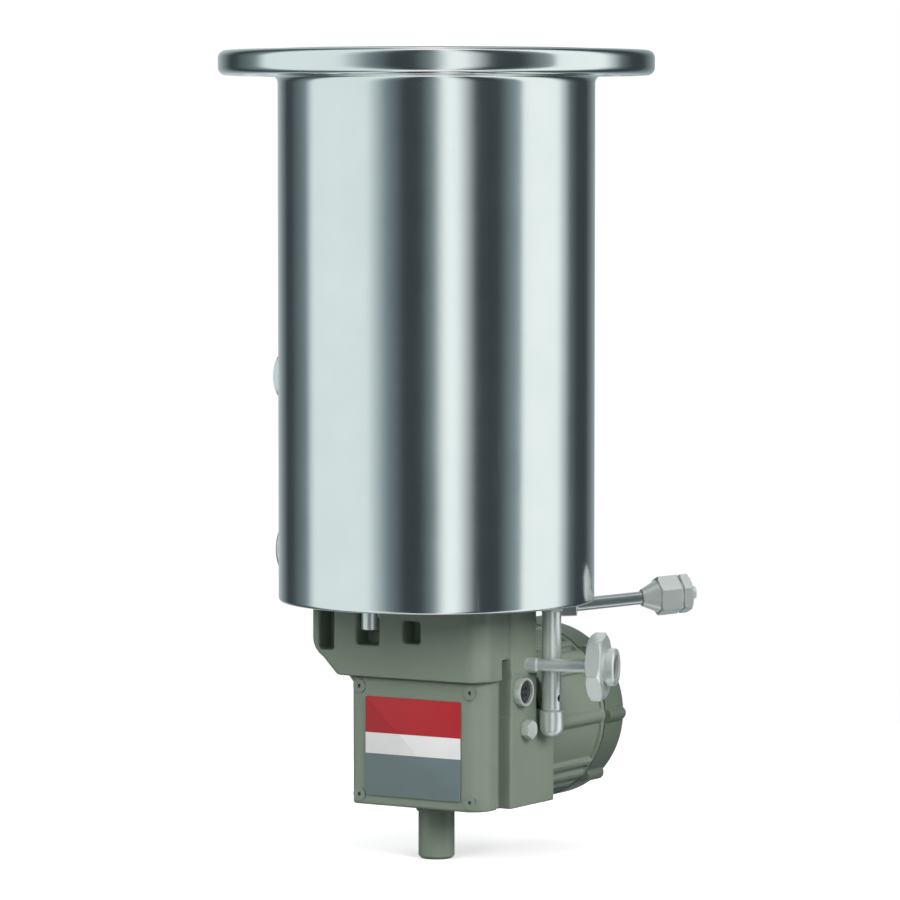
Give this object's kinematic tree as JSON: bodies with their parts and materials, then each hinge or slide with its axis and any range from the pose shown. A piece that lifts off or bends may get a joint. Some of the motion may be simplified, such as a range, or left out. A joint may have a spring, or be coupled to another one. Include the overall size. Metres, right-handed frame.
{
  "type": "cryopump",
  "caption": "Upright cryogenic vacuum pump: polished steel vessel under a bolting flange, with a two-stage cold head, painted drive casting and side motor below.",
  "frame": {"origin": "centre of the inlet flange's sealing face", "axes": "+Z out of the inlet along the vessel's axis; the label faces -Y, the motor points +Y, the supply coupling is on the +X side"},
  "size_m": [0.2794, 0.2877, 0.5208],
  "materials": {
    "polished_steel": "polished, fine circular grain",
    "casting_paint": "grey-green semi-gloss paint on a casting",
    "plated_steel": "bright plating",
    "screw_steel": "turned steel",
    "tube_steel": "drawn stainless tube",
    "copper": "bright copper",
    "bronze": "bronze",
    "lead": "lead shot",
    "charcoal": "granular charcoal",
    "seal_rubber": "black elastomer",
    "displacer_resin": "phenolic cloth tube",
    "seal_plastic": "filled fluoropolymer",
    "laminations": "stacked sheet steel",
    "label": "bare printed plate in three plain bands",
    "insulator": "dark moulded insert"
  },
  "bodies": {
    "pump": {"inlet_flange": "polished_steel", "inlet_seal": "seal_rubber", "vessel_shell": "polished_steel", "vessel_base": "tube_steel", "roughing_port": "tube_steel", "instrument_port": "tube_steel", "sensor_feedthrough": "tube_steel", "radiation_shield": "copper", "inlet_louvres": "copper", "louvre_struts": "copper", "first_stage_cylinder": "tube_steel", "first_stage_station": "copper", "second_stage_cylinder": "tube_steel", "second_stage_station": "copper", "temperature_sensors": "screw_steel", "array_bracket": "copper", "array_rings": "copper", "charcoal_linings": "charcoal", "cold_head_flange": "tube_steel", "cold_head_seal": "seal_rubber", "guide_bushes": "bronze", "shaft_bearings": "screw_steel", "valve_plate": "screw_steel", "drive_housing": "casting_paint", "housing_screws": "plated_steel", "front_cover": "casting_paint", "cover_screws": "casting_paint", "label_plate": "label", "guide_cap": "casting_paint", "motor_housing": "casting_paint", "motor_end_bell": "casting_paint", "motor_screws": "screw_steel", "motor_stator": "laminations", "supply_coupling": "plated_steel", "supply_spring": "screw_steel", "return_coupling": "plated_steel", "return_spring": "screw_steel", "relief_valve_body": "plated_steel", "relief_valve_spring": "screw_steel", "relief_valve_cap": "plated_steel", "purge_line": "tube_steel", "purge_fitting": "plated_steel", "power_socket": "plated_steel", "socket_insert": "insulator", "charge_plug": "plated_steel"},
    "crank": {"crankshaft": "screw_steel", "motor_rotor": "laminations"},
    "valve": {"valve_disc": "seal_plastic"},
    "displacers": {"yoke": "screw_steel", "first_displacer": "displacer_resin", "second_displacer": "displacer_resin", "displacer_seals": "seal_plastic", "first_regenerator": "bronze", "second_regenerator": "lead", "displacer_link": "screw_steel"},
    "roller": {"yoke_roller": "screw_steel"},
    "supply_valve": {"supply_poppet": "insulator"},
    "return_valve": {"return_poppet": "insulator"},
    "relief_valve": {"relief_valve_poppet": "bronze"}
  },
  "joints": [
    {"name": "crank_spin", "type": "hinge", "parent": "pump", "child": "crank", "pos_m": [0, 0.06, -0.436], "axis": [0, 1, 0], "continuous": true},
    {"name": "valve_spin", "type": "hinge", "parent": "pump", "child": "valve", "pos_m": [0, -0.02, -0.436], "axis": [0, 1, 0], "continuous": true},
    {"name": "displacer_slide", "type": "slide", "parent": "pump", "child": "displacers", "axis": [0, 0, 1], "range_m": [0, 0.022]},
    {"name": "roller_slide", "type": "slide", "parent": "displacers", "child": "roller", "axis": [1, 0, 0], "range_m": [-0.011, 0.011]},
    {"name": "supply_poppet_slide", "type": "slide", "parent": "pump", "child": "supply_valve", "axis": [-0.9511, -0.309, 0], "range_m": [0, 0.004], "stiffness_N_per_m": 1500, "springref_m": -0.002, "deforming": ["supply_spring"]},
    {"name": "return_poppet_slide", "type": "slide", "parent": "pump", "child": "return_valve", "axis": [0.5736, -0.8192, 0], "range_m": [0, 0.004], "stiffness_N_per_m": 1500, "springref_m": -0.002, "deforming": ["return_spring"]},
    {"name": "relief_poppet_slide", "type": "slide", "parent": "pump", "child": "relief_valve", "axis": [0, 0, -1], "range_m": [0, 0.003], "stiffness_N_per_m": 1200, "springref_m": -0.002, "deforming": ["relief_valve_spring"]}
  ],
  "couplings": [
    {"joint": "valve_spin", "follows": "crank_spin", "ratio": 1}
  ]
}
